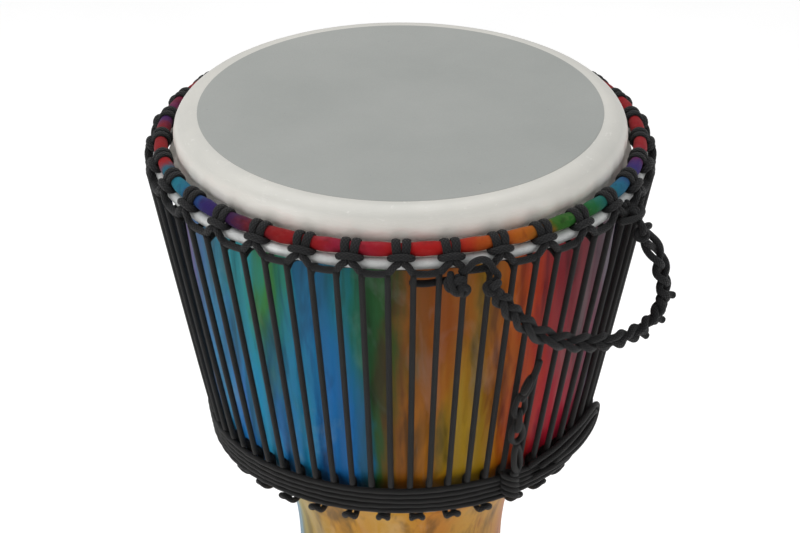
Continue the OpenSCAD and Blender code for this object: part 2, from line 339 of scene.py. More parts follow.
class Look:
    """A material whose nodes are made by short calls; each call returns an output socket."""

    def __init__(self, name, roughness=0.5, **sockets):
        self.material = bpy.data.materials.new(name)
        self.material.use_nodes = True
        self.tree = self.material.node_tree
        self.shader = self.tree.nodes["Principled BSDF"]
        self.place = self.node("TexCoord", out="Object")
        self.shader.inputs["Roughness"].default_value = roughness
        for key, value in sockets.items():
            self.shader.inputs[key.replace("_", " ").title().replace("Ior", "IOR")].default_value = value

    def feed(self, socket, value):
        """Links an output to an input socket, or sets the socket's value."""
        if isinstance(value, bpy.types.NodeSocket):
            self.tree.links.new(value, socket)
        else:
            socket.default_value = value

    def node(self, kind, inputs=None, out=0, **settings):
        made = self.tree.nodes.new("ShaderNode" + kind)
        for key, value in settings.items():
            setattr(made, key, value)
        for key, value in (inputs or {}).items():
            self.feed(made.inputs[key], value)
        return made.outputs[out]

    def math(self, operation, a, b=0.0):
        return self.node("Math", {0: a, 1: b}, operation=operation)

    def parts(self, vector):
        made = self.tree.nodes.new("ShaderNodeSeparateXYZ")
        self.tree.links.new(vector, made.inputs[0])
        return made.outputs

    def uv(self):
        return self.parts(self.node("UVMap", uv_map="surface"))

    def noise(self, scale, detail=3.0, rough=0.55, twist=0.0, stretch=None):
        """Noise in the drum's own space, each coordinate first multiplied by its stretch."""
        place = self.place
        if stretch is not None:
            place = self.node("Mapping", {"Vector": place, "Scale": stretch})
        values = {"Vector": place, "Scale": scale, "Detail": detail}
        return self.node("TexNoise", {**values, "Roughness": rough, "Distortion": twist})

    def fit(self, value, low, high, to_low=0.0, to_high=1.0):
        values = {0: value, 1: low, 2: high, 3: to_low, 4: to_high}
        return self.node("MapRange", values, clamp=True)

    def mix(self, share, a, b, blend="MIX"):
        made = self.tree.nodes.new("ShaderNodeMix")
        made.data_type = "RGBA"
        made.blend_type = blend
        for key, value in ((0, share), (6, a), (7, b)):
            self.feed(made.inputs[key], value)
        return made.outputs[2]

    def tint(self, shade, code, value, low, high, share):
        """Lays up to a share of a hex colour over a shade where a value goes from low to high."""
        return self.mix(self.fit(value, low, high, 0.0, share), shade, colour(code))

    def ramp(self, value, stops, ease="EASE"):
        """A colour ramp of [position, hex colour] stops."""
        made = self.tree.nodes.new("ShaderNodeValToRGB")
        made.color_ramp.interpolation = ease
        elements = made.color_ramp.elements
        while len(elements) > 1:
            elements.remove(elements[-1])
        elements[0].position = stops[0][0]
        elements[0].color = colour(stops[0][1])
        for position, code in stops[1:]:
            elements.new(position).color = colour(code)
        self.tree.links.new(value, made.inputs[0])
        return made.outputs[0]

    def round_the_drum(self):
        """The angle from the front, from 0 at the back, through 0.5 at the front, to 1."""
        x, y, _ = self.parts(self.place)
        turn = self.math("ARCTAN2", x, self.math("MULTIPLY", y, -1.0))
        return self.math("ADD", self.math("DIVIDE", turn, 2 * math.pi), 0.5)

    def deepened(self, shade, power, gain):
        """A colour made darker and more saturated by a power, then scaled."""
        darker = self.node("Gamma", {"Color": shade, "Gamma": power})
        return self.mix(1.0, darker, (gain, gain, gain, 1.0), "MULTIPLY")

    def bump(self, height, distance, strength=1.0, normal=None):
        values = {"Height": height, "Distance": distance, "Strength": strength}
        if normal is not None:
            values["Normal"] = normal
        return self.node("Bump", values)

    def finish(self, base=None, rough=None, normal=None, **others):
        for key, value in {"Base Color": base, "Roughness": rough, "Normal": normal, **others}.items():
            if value is not None:
                self.feed(self.shader.inputs[key], value)
        return self.material


def angle_stops(stops):
    """[degrees from the front, hex colour] as ramp stops."""
    return [[0.5 + a / 360, code] for a, code in stops]


# -------- materials


def rope_material(name, base, fleck, carriers, lay):
    """Braided sheath: carriers strands each way round the rope, lay turns to a girth of length; the darker
    of the two base colours is painted shade in the grooves between strands.
    """
    look = Look(name, roughness=0.62, sheen_weight=0.05, sheen_roughness=0.4, specular_ior_level=0.32)
    around, along, _ = look.uv()
    u = look.math("MULTIPLY", around, carriers * math.pi)
    v = look.math("MULTIPLY", along, carriers * math.pi * lay)
    left = look.math("SINE", look.math("ADD", u, v))
    right = look.math("SINE", look.math("SUBTRACT", u, v))
    cell = look.math("MULTIPLY", left, right)
    over = look.math("GREATER_THAN", cell, 0.0)
    soft = look.math("POWER", look.math("ABSOLUTE", left), 0.6)
    steep = look.math("POWER", look.math("ABSOLUTE", right), 0.6)
    one = look.math("MULTIPLY", soft, look.math("ABSOLUTE", right))
    two = look.math("MULTIPLY", steep, look.math("ABSOLUTE", left))
    under = look.math("SUBTRACT", 1.0, over)
    strands = look.math("ADD", look.math("MULTIPLY", one, over), look.math("MULTIPLY", two, under))
    fibres = look.noise(2600.0, 2.0)
    dust = look.noise(60.0, 4.0)
    # painted shade: the first base colour fills the grooves between strands and the second the strand tops
    shade = look.mix(look.fit(strands, 0.15, 0.8), colour(base[0]), colour(base[1]))
    shade = look.tint(shade, fleck, fibres, 0.55, 0.8, 0.5)
    shade = look.tint(shade, fleck, dust, 0.5, 0.75, 0.35)
    rough = look.fit(strands, 0.0, 1.0, 0.85, 0.5)
    fine = look.bump(fibres, 0.00012, 0.5)
    return look.finish(shade, rough, look.bump(strands, 0.00045, 1.0, fine))


def film_material():
    """Milky film: cloudy, with fine creases; lighter and warmer low down as painted light over the shade
    under the roll, with blotches of painted pink reflection from the cloth there.
    """
    look = Look("head_film", roughness=0.4, coat_weight=0.1, coat_roughness=0.3)
    cloud = look.noise(14.0, 4.0, 0.6)
    blotch = look.noise(45.0, 3.0, 0.6, 0.6, stretch=(1, 1, 2.5))
    creases = look.noise(120.0, 3.0, 0.6, 1.2, stretch=(1, 1, 5))
    _, _, z = look.parts(look.place)
    # painted light: low marks the film below the roll, where its colour is lightened to hide the shade
    # there
    low = look.fit(z, HEAD_Z - 0.016, HEAD_Z - 0.005, 1.0, 0.0)
    shade = look.mix(look.fit(cloud, 0.35, 0.65), colour("c4c3bd"), colour("cdcbc4"))
    # painted light: the lower film is made lighter and warmer (ece8e0) in place of its shade
    shade = look.mix(low, shade, colour("ece8e0"))
    # painted reflection: blotchy pink from the cloth below, laid over the lower film
    tint_patches = look.math("MULTIPLY", low, look.fit(blotch, 0.5, 0.68, 0.0, 0.4))
    shade = look.mix(tint_patches, shade, colour("e8cfc8"))
    shade = look.tint(shade, "eeede8", creases, 0.62, 0.75, 0.35)
    rough = look.fit(blotch, 0.3, 0.7, 0.32, 0.48)
    return look.finish(shade, rough, look.bump(creases, 0.0005, 0.35))


def ply_material():
    """The grey fibre-faced centre of the head, in cloudy tones with fine fibres and specks."""
    look = Look("head_ply", roughness=0.78, specular_ior_level=0.3)
    cloud = look.noise(7.0, 5.0, 0.6)
    grain = look.noise(900.0, 3.0, 0.7)
    fibre = look.noise(210.0, 3.0, 0.6, 0.4, stretch=(1, 9, 1))
    speck = look.noise(330.0, 1.0)
    shade = look.mix(look.fit(cloud, 0.3, 0.7), colour("979a97"), colour("a3a5a2"))
    shade = look.tint(shade, "8f918e", grain, 0.3, 0.7, 0.4)
    shade = look.tint(shade, "adaeab", fibre, 0.55, 0.75, 0.3)
    shade = look.tint(shade, "85878a", speck, 0.77, 0.82, 0.6)
    rough = look.fit(fibre, 0.3, 0.7, 0.7, 0.88)
    return look.finish(shade, rough, look.bump(grain, 0.00012, 0.5, look.bump(fibre, 0.0001, 0.3)))


BOWL_HIGH = [
    [-180, "b0344e"], [-160, "7d3a86"], [-140, "2f4fa0"], [-118, "2b8a8a"], [-98, "4b5a9c"],
    [-80, "6b4a8e"], [-66, "3f76a4"], [-56, "2f90aa"], [-46, "2b9ca4"], [-38, "4a8f4a"],
    [-33, "2f8f80"], [-28, "2484a8"], [-21, "2280a4"], [-16, "1f8694"], [-11, "1f7e66"],
    [-6, "2b6a30"], [-1.5, "4f5d1e"], [2, "9a6410"], [8, "a8640c"], [15, "b0740f"],
    [21, "a8851e"], [26, "bf7a12"], [32, "c46a10"], [37, "c04a1c"], [43, "a12436"],
    [54, "8f2438"], [62, "6e3d54"], [72, "6a5468"], [90, "5b4a72"], [118, "35589c"],
    [142, "2f8a6a"], [162, "a8862a"],
]
BOWL_LOW = [
    [-180, "c07a1a"], [-158, "c0452a"], [-136, "a02c56"], [-115, "5c3f92"], [-95, "2f5fa8"],
    [-76, "2c7fc0"], [-62, "2a9cc4"], [-52, "2b7fc2"], [-44, "2a9fc0"], [-36, "2a86bc"],
    [-29, "2496b8"], [-22, "2583bc"], [-17, "2f83bd"], [-12, "2f7a9c"], [-8, "3f6a35"],
    [-4, "8a6a1c"], [0, "b3781a"], [8, "bd8420"], [14, "b89a2a"], [22, "bb9a2a"],
    [28, "c98a18"], [34, "c8600f"], [39, "c4442a"], [46, "b8243f"], [58, "b02448"],
    [70, "8c2c5c"], [88, "63408a"], [112, "2f6aa8"], [134, "2f9a80"], [158, "8f9a2c"],
]
STEM = [
    [-180, "d8a436"], [-150, "d08a2c"], [-120, "7f9a3c"], [-98, "3f7ca6"], [-80, "6f9cb6"],
    [-70, "8fb0bc"], [-63, "b8a858"], [-50, "c8a848"], [-28, "d9a53c"], [-6, "e0b24c"],
    [18, "d89a38"], [34, "dcae4e"], [56, "d9a846"], [78, "cf8a34"], [110, "b85a34"],
    [140, "c9862e"], [165, "dcae44"],
]


def shell_material():
    """Tie-dyed cloth under clear lacquer: colours go by angle, streak down the shell and run together, with
    pale wisps of painted highlight.
    """
    look = Look("shell_tie_dye", 0.5, coat_weight=0.08, coat_roughness=0.2, specular_ior_level=0.18)
    _, _, z = look.parts(look.place)
    turn = look.round_the_drum()
    drift = look.noise(13.0, 3.0, 0.55, stretch=(1, 1, 0.45))
    streak = look.noise(75.0, 3.0, 0.6, 0.3, stretch=(1, 1, 0.10))
    wisps = look.noise(34.0, 4.0, 0.6, 0.8, stretch=(1, 1, 0.35))
    moved = look.math("ADD", turn, look.fit(drift, 0.25, 0.75, -0.009, 0.009))
    moved = look.math("ADD", moved, look.fit(streak, 0.3, 0.7, -0.008, 0.008))
    low = look.math("ADD", z, look.fit(wisps, 0.3, 0.7, -0.035, 0.035))
    high_part = look.ramp(moved, angle_stops(BOWL_HIGH))
    low_part = look.ramp(moved, angle_stops(BOWL_LOW))
    bowl = look.mix(look.fit(low, 0.43, 0.52), low_part, high_part)
    stem_turn = look.math("ADD", moved, look.fit(z, 0.0, 0.36, 0.03, 0.0))
    stem = look.ramp(stem_turn, angle_stops(STEM))
    rust = look.noise(16.0, 4.0, 0.6, 1.4, stretch=(1, 1, 0.5))
    stem = look.tint(stem, "c4702c", rust, 0.55, 0.7, 0.65)
    shade = look.mix(look.fit(z, 0.355, 0.375), stem, bowl)
    dark = look.fit(streak, 0.48, 0.7, 0.0, 0.6)
    shade = look.mix(dark, shade, look.mix(1.0, shade, colour("5a6878"), "MULTIPLY"))
    bowl_share = look.fit(z, 0.36, 0.375, 0.0, 1.0)
    shade = look.mix(bowl_share, look.deepened(shade, 1.3, 0.72), look.deepened(shade, 1.32, 1.05))
    # painted highlight: pale cyan-white wisps screened over the dye stand in for the lacquer's reflections
    painted_highlight = look.fit(wisps, 0.56, 0.74, 0.0, 0.2)
    shade = look.mix(painted_highlight, shade, look.mix(0.5, shade, colour("cfe0dc"), "SCREEN"))
    weave = look.noise(1500.0, 2.0)
    shade = look.tint(shade, "20262a", weave, 0.3, 0.7, 0.12)
    ripple = look.noise(22.0, 2.0, stretch=(1, 1, 0.3))
    return look.finish(shade, None, look.bump(ripple, 0.0008, 0.25, look.bump(weave, 0.00006, 0.4)))


def inside_material():
    """The bare inside of the shell: dark moulded fibre."""
    look = Look("shell_inside", roughness=0.75)
    blot = look.noise(30.0, 5.0, 0.6)
    fibre = look.noise(260.0, 3.0, 0.6, 1.0, stretch=(1, 1, 4))
    shade = look.mix(look.fit(blot, 0.35, 0.65), colour("2b2724"), colour("3a342e"))
    shade = look.tint(shade, "54493d", fibre, 0.55, 0.75, 0.5)
    return look.finish(shade, look.fit(fibre, 0.3, 0.7, 0.65, 0.85), look.bump(fibre, 0.0004, 0.5))


CLOTH = [
    [-180, "2f6aa8"], [-170, "2f8a9c"], [-158, "3f8f4a"], [-146, "b89a2a"], [-134, "c8701a"],
    [-122, "c02c2a"], [-110, "a02258"], [-100, "6a2f86"], [-92, "b01f30"], [-75, "c2142c"],
    [-70, "1f8fa4"], [-62, "2b9cb0"], [-57, "2b6fa8"], [-50, "4a2f86"], [-40, "5a1f66"],
    [-36, "8c1638"], [-28, "b40f1c"], [-22, "bc1326"], [-14, "b92a56"], [-6, "c21f44"],
    [0, "cc1a26"], [7, "d01c1c"], [13, "cf3f1c"], [20, "d4701a"], [28, "d6851a"],
    [35, "b8862a"], [38, "4f8a2c"], [47, "2f8a3c"], [54, "2a8f86"], [62, "2f8fae"],
    [72, "5a3f96"], [84, "c02034"],
]
THREADS = 2200.0


def cloth_material():
    """Tie-dyed cotton strip round the crown ring, woven with so many threads to a metre."""
    look = Look("crown_cloth", 0.7, sheen_weight=0.04, sheen_roughness=0.45, specular_ior_level=0.2)
    turn = look.round_the_drum()
    drift = look.noise(60.0, 3.0, 0.6, 0.6)
    moved = look.math("ADD", turn, look.fit(drift, 0.3, 0.7, -0.007, 0.007))
    shade = look.ramp(moved, angle_stops(CLOTH))
    pale = look.noise(95.0, 4.0, 0.6, 1.0, stretch=(1, 1, 2))
    faded = look.mix(0.6, shade, colour("ffd9c8"), "SCREEN")
    shade = look.mix(look.fit(pale, 0.55, 0.75, 0.0, 0.18), shade, faded)
    dark = look.noise(150.0, 3.0, 0.6)
    soaked = look.mix(1.0, shade, colour("8a5a60"), "MULTIPLY")
    shade = look.mix(look.fit(dark, 0.55, 0.75, 0.0, 0.4), shade, soaked)
    shade = look.deepened(shade, 1.35, 0.56)
    around, along, _ = look.uv()
    warp = look.math("SINE", look.math("MULTIPLY", along, 2 * math.pi * THREADS))
    weft = look.math("SINE", look.math("MULTIPLY", around, 2 * math.pi * THREADS))
    weave = look.math("MULTIPLY", warp, weft)
    folds = look.noise(240.0, 3.0, 0.6, 1.5)
    return look.finish(shade, None, look.bump(weave, 0.00006, 0.5, look.bump(folds, 0.0005, 0.4)))


def cover_material():
    """The head's film folded round the flesh ring: crisp white folds with painted shade along them, and a
    plastic shine.
    """
    look = Look("ring_cover_film", roughness=0.3, coat_weight=0.3, coat_roughness=0.18)
    folds = look.noise(160.0, 3.0, 0.6, 1.5, stretch=(1, 1, 3))
    cloud = look.noise(55.0, 3.0)
    shade = look.mix(look.fit(cloud, 0.35, 0.65), colour("b2b4b3"), colour("cfd0ce"))
    # painted shade: the folds are tinted a darker bluish grey
    shade = look.tint(shade, "b6b8ba", folds, 0.6, 0.75, 0.5)
    return look.finish(shade, look.fit(folds, 0.3, 0.7, 0.2, 0.4), look.bump(folds, 0.0008, 0.6))


def steel_material():
    """Drawn bar with fine lines and a little tarnish."""
    look = Look("ring_steel", roughness=0.35, metallic=1.0)
    lines = look.noise(300.0, 3.0, stretch=(1, 1, 14))
    tint_patches = look.noise(40.0, 4.0)
    shade = look.mix(look.fit(tint_patches, 0.4, 0.7), colour("a9abad"), colour("8b8a86"))
    return look.finish(shade, look.fit(lines, 0.3, 0.7, 0.28, 0.5), look.bump(lines, 0.0001, 0.3))


def rubber_material():
    """Black moulded rubber, dusty in patches and scuffed where it meets the floor."""
    look = Look("foot_rubber", roughness=0.8, specular_ior_level=0.35)
    _, _, z = look.parts(look.place)
    pits = look.noise(700.0, 3.0, 0.7)
    dust = look.noise(45.0, 5.0, 0.6)
    scuff = look.math("MULTIPLY", look.fit(z, 0.0, 0.006, 1.0, 0.0), look.fit(dust, 0.4, 0.6))
    shade = look.mix(look.fit(dust, 0.45, 0.75, 0.0, 0.5), colour("232324"), colour("3a3a3a"))
    shade = look.mix(look.math("MULTIPLY", scuff, 0.6), shade, colour("56534e"))
    return look.finish(shade, look.fit(pits, 0.3, 0.7, 0.7, 0.92), look.bump(pits, 0.0002, 0.5))


CRADLE_LOOK = rope_material("cradle_rope", ("040405", "0e0e10"), "202023", 8, 0.9)
LACING_LOOK = rope_material("lacing_rope", ("060505", "100f0f"), "242120", 8, 0.8)
FILM_LOOK = film_material()
STEEL_LOOK = steel_material()

# -------- camera


CAMERA_PLACE = (0.0, -2.122, 1.612)
CAMERA_DOWN = 28.05
CAMERA_LEFT = 0.01
LENS = 159.3


def make_camera():
    """A long lens looking down at the head from in front."""
    data = bpy.data.cameras.new("camera")
    data.lens = LENS
    data.sensor_width = 36.0
    data.clip_end = 60.0
    made = in_scene("camera", data)
    made.location = CAMERA_PLACE
    made.rotation_euler = (math.radians(90 - CAMERA_DOWN), 0.0, math.radians(CAMERA_LEFT))
    bpy.context.scene.camera = made


# -------- the plaited handle


KNOT_FRONT = [19.1, 178.2, 44.8]
KNOT_SIDE = [61.5, 178.6, 46.5]
HANDLE_ROUTE = [
    KNOT_FRONT, [20.9, 179.6, 53.5], [24, 180, 66.5], [29, 179, 83], [36, 179, 96],
    [44, 180, 105], [51, 182, 111], [58, 185, 113], [63.5, 188, 108], [66, 189, 98],
    [66, 188, 84], [65, 185.5, 69], [63, 180.8, 56], KNOT_SIDE,
]
PLAIT_PERIOD = 0.043
PLAIT_STRAND_R = 2.45


def plait_lines(line):
    """Three strands plaited round a line: looser and flatter towards the far end."""
    s = np.linspace(0, 1, len(line))
    total = length_of(line)
    along, _, _ = frames(line)
    outward = line * (1, 1, 0)
    outward /= np.linalg.norm(outward, axis=1)[:, None]
    outward -= (outward * along).sum(1)[:, None] * along
    outward /= np.linalg.norm(outward, axis=1)[:, None]
    broad = np.cross(along, outward)
    turn = np.radians(25 * np.sin(2.2 * math.pi * s))[:, None]
    across = broad * np.cos(turn) + outward * np.sin(turn)
    through = outward * np.cos(turn) - broad * np.sin(turn)
    loose = np.clip((s - 0.62) / 0.12, 0, 1) * np.clip((0.97 - s) / 0.1, 0, 1)
    ends = np.clip(np.minimum(s, 1 - s) / 0.035, 0.35, 1)
    width = (4.2 + 2.6 * loose) * ends
    depth = (2.0 + 0.5 * loose) * ends
    phase = 2 * math.pi * s * total / PLAIT_PERIOD + 0.8 * np.sin(3 * math.pi * s) + 0.3 * np.sin(17 * s)
    made = []
    for k in range(3):
        own = phase + k * 2 * math.pi / 3
        sway = (width * np.sin(own))[:, None] * across
        weave = (depth * np.sin(2 * own + 0.5 * np.sin(9 * s + k)))[:, None] * through
        made.append(line + (sway + weave) * MM)
    return made


def stub_lines(line):
    """The short strand ends that stick out of the plait's far half."""
    middle = at(45, 182, 70)
    made = []
    for share, reach in ((0.62, 8.6), (0.69, 9.4), (0.76, 9.8)):
        root = line[int(share * len(line))]
        out = (root - middle) / np.linalg.norm(root - middle)
        bend = np.cross(out, (0, 0, 1))
        steps = np.array((3.0, 0.75 * reach, reach))[:, None] * out
        made.append(smooth(root + (steps + np.array((0, 0.6, 1.8))[:, None] * bend) * MM, 5))
    return made


def trefoil(centre, across, up, size, thick):
    """A closed knot of rope about a centre, lying in the plane of across and up; sizes in millimetres."""
    t = once_round(160)
    out = np.cross(across, up)
    x = size * (np.sin(t) + 2 * np.sin(2 * t)) / 3
    y = size * (np.cos(t) - 2 * np.cos(2 * t)) / 3
    z = -thick * np.sin(3 * t)
    return centre + (x[:, None] * across + y[:, None] * up + z[:, None] * out) * MM


def local_axes(angle, tilt=0.0):
    """At an angle: across to the right, up, and outward, with the first two tilted in their plane."""
    a, t = math.radians(angle), math.radians(tilt)
    right = np.array((math.cos(a), math.sin(a), 0.0))
    up = np.array((0.0, 0.0, 1.0))
    out = np.array((math.sin(a), -math.cos(a), 0.0))
    return right * math.cos(t) + up * math.sin(t), up * math.cos(t) - right * math.sin(t), out


def knot(name, place, size, thick, tilt, tails=()):
    """A pulled-tight knot of rope with short ends; tails are lines in metres."""
    across, up, _ = local_axes(place[0], tilt)
    surface = Surface()
    surface.tube(trefoil(at(*place), across, up, size, thick), KNOT_ROPE_R, closed=True)
    for line in tails:
        surface.tube(line, KNOT_ROPE_R)
    return surface.make(name, CRADLE_LOOK)


def make_handle():
    """The plait, its two knots and the short strand ends that stick out of it."""
    line = spaced(smooth(route(HANDLE_ROUTE), 12), 0.0011)
    strands = plait_lines(line)
    plait = ropes("handle_plait_strands", strands, PLAIT_STRAND_R, CRADLE_LOOK, 14)
    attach(plait, "handle")
    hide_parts("handle_plait")
    front = knot("handle_knot_front_rope", KNOT_FRONT, 5.0, 2.2, 20)
    side = knot("handle_knot_side_rope", KNOT_SIDE, 6.0, 2.4, -35)
    ends = ropes("handle_strand_ends", stub_lines(line), PLAIT_STRAND_R, CRADLE_LOOK, 14)
    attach(ends, "handle")
    for made, node in ((front, "handle_knot_front"), (side, "handle_knot_side")):
        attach(made, "handle")
        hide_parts(node)


# -------- head


def make_head():
    """One film: flat, over the bearing edge, in behind the hitches and round to the flesh ring."""
    rng = np.random.default_rng(SEED)
    roll_r, roll_at, top = 13.6, 137.6, PLY_T
    roll_depth = roll_r + top
    flat_part = [[r, top] for r in (0.01, 40, 80, 110, 125, 131, 134.5)]
    roll = arc(roll_at, roll_depth, roll_r, 90, -38, 34)
    fold = flat([[148.36, 22.3], [148.5, 26], [149.2, 30], [151.6, 33], [155.5, 34.9]])
    outer = np.vstack([flat_part, roll, fold[2:]])
    inner = inset(outer, FILM_T)
    inner[0] = [0.01, top + FILM_T]
    outline = np.vstack([outer, inner[::-1]])
    ripple = [bumpy(once_round(FILM_SIDES), k, rng) for k in (7, 23, 61, 110)]

    def move(turns, radii, depths):
        """Puckers below the roll, drawn in at each hitch, and small dents in the roll."""
        lower = np.clip((depths - 7.0) / 9.0, 0, 1)
        near = np.cos(turns * HITCHES)
        pucker = lower * (0.35 * ripple[2] + 0.25 * ripple[3] - 0.45 * np.clip(near, 0, 1) ** 3)
        dent = np.where(radii > 136, 0.12, 0.0) * ripple[1] * (1 - lower)
        return radii + np.clip(pucker, -0.4, 0.45) + dent, depths + lower * 0.25 * ripple[2]

    surface = Surface()
    lathe(surface, outline, FILM_SIDES, move=move)
    film = surface.make("head_film", FILM_LOOK)
    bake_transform(film)
    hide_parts("drumhead", "drumhead_skirt")

    surface = Surface()
    edge = [[0.01, 0], [60, 0], [110, 0], [PLY_R - 0.5, 0], [PLY_R - 0.15, 0.05], [PLY_R, 0.16]]
    lathe(surface, edge + [[PLY_R, top - 0.01], [60, top - 0.01], [0.01, top - 0.01]], 360)
    ply = surface.make("head_ply_disc", ply_material(), hard=50)
    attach(ply, "drum")
    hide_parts("head_centre_ply")


# -------- rings


def torus(name, ring_r, depth, size, material, node, shape):
    """A sleeve round a ring; shape(angles, turn) gives its radius in millimetres at each point."""
    sides = 20
    angles, turns = once_round(RING_STEPS), once_round(sides)
    r = size + shape(angles[:, None], turns[None, :])
    radii = ring_r + r * np.cos(turns)
    heights = HEAD_Z / MM - depth + r * np.sin(turns)
    x, y = radii * np.sin(angles)[:, None], -radii * np.cos(angles)[:, None]
    surface = Surface()
    rows_uv = np.arange(RING_STEPS + 1) / RING_STEPS * 2 * math.pi * ring_r * MM
    cols_uv = np.arange(sides + 1) / sides * 2 * math.pi * size * MM
    surface.grid(np.stack([x, y, heights], axis=2) * MM, rows_uv, cols_uv, rows_closed=True)
    made = surface.make(name, material)
    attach(made, "tuning_rings")
    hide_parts(node)


def make_rings():
    """Cloth round the crown ring and film round the flesh ring, both nipped in under the ropes."""
    rng = np.random.default_rng(SEED + 1)
    angles = once_round(RING_STEPS)
    slow, quick, fine = (bumpy(angles, k, rng)[:, None] for k in (29, 90, 170))

    def cloth(a, t):
        free = np.sin(a * HITCHES / 2) ** 2
        wrinkle = 0.10 * np.sin(3 * t + 5 * slow) + 0.08 * quick * np.sin(2 * t) + 0.04 * fine
        return -0.2 + 0.72 * free + wrinkle * (0.4 + 0.9 * free)

    def cover(a, t):
        free = np.sin(a * HITCHES / 2) ** 2
        facet = np.abs(np.sin(2.5 * t + 1.2 * slow))
        return -0.05 - 0.22 * free * (1 - facet) + 0.06 * quick * free

    torus("crown_ring_wrap", CROWN_R, CROWN_DEPTH, CLOTH_R, cloth_material(),
          "crown_ring_cloth", cloth)
    torus("flesh_ring_film", FLESH_R, FLESH_DEPTH, COVER_R, cover_material(),
          "flesh_ring_cover", cover)


# -------- cradle rope


# One half of a hitch and of the link beside it: [aside, radius, depth, share of the rope's thickness]
HITCH_HALF = [
    [-16.4, 167.5, 35.3, 0.95], [-12.4, 167.5, 35.1, 1], [-9.2, 167.6, 34.7, 1], [-7.0, 168.0, 33.3, 1],
    [-5.5, 168.3, 31.1, 1], [-3.8, 168.2, 29.3, 1], [-1.9, 167.5, 28.0, 0.95], [-2.2, 164.9, 25.4, 0.7],
    [-2.8, 164.4, 21.6, 0.52], [-3.2, 162.8, 18.1, 0.5], [-3.3, 159.3, 16.6, 0.5], [-3.3, 155.8, 18.1, 0.5],
    [-3.4, 154.3, 21.6, 0.5], [-3.8, 155.6, 25.0, 0.5], [-4.8, 159.3, 26.6, 0.45], [-5.9, 162.6, 26.4, 0.5],
    [-6.3, 165.3, 25.6, 0.9], [-4.6, 166.9, 24.5, 1], [0, 167.4, 23.7, 1],
]


def hitch_points(k, rng):
    """One hitch's stretch of the cradle rope, from the middle of one link to the middle of the next."""
    lean, lift, wide = rng.normal(0, (0.25, 0.2, 0.035))
    whole = HITCH_HALF + [[-t, r, d, share] for t, r, d, share in HITCH_HALF[-2:0:-1]]
    made = []
    for t, r, d, share in whole:
        free = min(1.0, max(0.0, (34 - d) / 6))
        place = beside(k * STEP, t * (1 + wide * free) + lean * free, r, d + lift * free)
        made.append([*place, share])
    return made


def away_from_ring(line, radius, depth):
    """Unit directions to each point from a ring's middle line."""
    angles = np.arctan2(line[:, 0], -line[:, 1])
    middle = np.column_stack([radius * np.sin(angles), -radius * np.cos(angles), 0 * angles])
    middle[:, 2] = HEAD_Z / MM - depth
    away = line - middle * MM
    return away / np.linalg.norm(away, axis=1)[:, None]


def make_cradle():
    """The one rope that hitches to the crown ring all the way round."""
    rng = np.random.default_rng(SEED + 2)
    points = [p for k in range(HITCHES) for p in hitch_points(k, rng)]
    path = smooth(points, 6, closed=True)
    line = path[:, :3]
    surface = Surface()
    press = (away_from_ring(line, CROWN_R, CROWN_DEPTH), np.clip(path[:, 3], 0.4, 1))
    swell = 1 + 0.42 * (1 - press[1])
    surface.tube(line, CRADLE_ROPE_R * swell, 14, True, press)
    rope = surface.make("cradle_rope_round", CRADLE_LOOK)
    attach(rope, "tuning_rings")
    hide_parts("top_hitches", "top_links")


CRADLE_KNOT = [STEP + 0.2, 173.5, 41.5]
CRADLE_KNOT_LOOPS = [
    [
        [-2.4, 169.8, 35], [-3.4, 175, 38], [-2.2, 177, 43], [0.8, 176.8, 45.4], [2.2, 175.6, 41],
        [1.4, 172, 36],
    ],
    [[-1, 173, 39], [3.4, 175.6, 40.4], [7.6, 175, 44.2], [5.6, 173.6, 48], [1, 172.6, 46.5]],
]
CRADLE_TAIL = [[STEP - 0.9, 162, 43.5], [STEP * 0.5, 161.2, 45.4], [STEP * 0.22, 160.8, 44.6]]


def make_cradle_knot():
    """The lumpy knot that closes the cradle rope, with its two loops and its tail behind the lacing."""
    loops = [smooth([beside(CRADLE_KNOT[0], *q) for q in line], 8) for line in CRADLE_KNOT_LOOPS]
    made = knot("cradle_knot_rope", CRADLE_KNOT, 5.8, 2.2, 10, loops)
    tail = ropes("cradle_tail_rope", [smooth(route(CRADLE_TAIL), 8)], CRADLE_ROPE_R, CRADLE_LOOK)
    for piece, node in ((made, "cradle_knot"), (tail, "cradle_tail")):
        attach(piece, "tuning_rings")
        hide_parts(node)


FRONT_LOOP = [
    [12.9, 169.6, 34.4], [14.4, 170.2, 32.0], [15.6, 171.0, 27.9], [17.4, 171.6, 26.4],
    [18.9, 171.8, 29.3], [19.9, 172.2, 34.8], [20.8, 172.6, 39.0], [19.9, 173.6, 42.4],
]
SIDE_TANGLE = [
    [56.5, 170, 36], [58.5, 173.4, 36.6], [61.5, 175.4, 37.6], [64.5, 174, 38.4], [66.2, 170.5, 38],
]


def tie_turn(angle, aside):
    """One turn of rope round the cradle rope, set off a little to one side of an angle."""
    turns = np.radians(np.linspace(156, 432, 40))
    spread = aside * (0.7 + 0.3 * np.sin(turns))
    radii, depths = 167.8 - 5.2 * np.cos(turns), 35.6 - 5.2 * np.sin(turns)
    return [beside(angle, *q) for q in zip(spread, radii, depths)]


def make_ties():
    """The loops that hold the handle's two knots to the cradle rope."""
    front = [smooth(route(FRONT_LOOP), 8)]
    side = [tie_turn(KNOT_SIDE[0], aside) for aside in (-2.2, 2.2)] + [smooth(route(SIDE_TANGLE), 6)]
    for name, lines, node in (
        ("handle_tie_front_rope", front, "handle_tie_front"),
        ("handle_tie_side_rope", side, "handle_tie_side"),
    ):
        made = ropes(name, lines, KNOT_ROPE_R, CRADLE_LOOK)
        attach(made, "tuning_rings")
        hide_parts(node)


# -------- lacing and bottom ring


RUN_HALF = STEP / 4
LACING_RUN = [
    [166.3, 40.5], [165.6, 48], [133.5, 202], [130.2, 209], [127.1, 213.5], [124.3, 232.5], [119, 236],
]


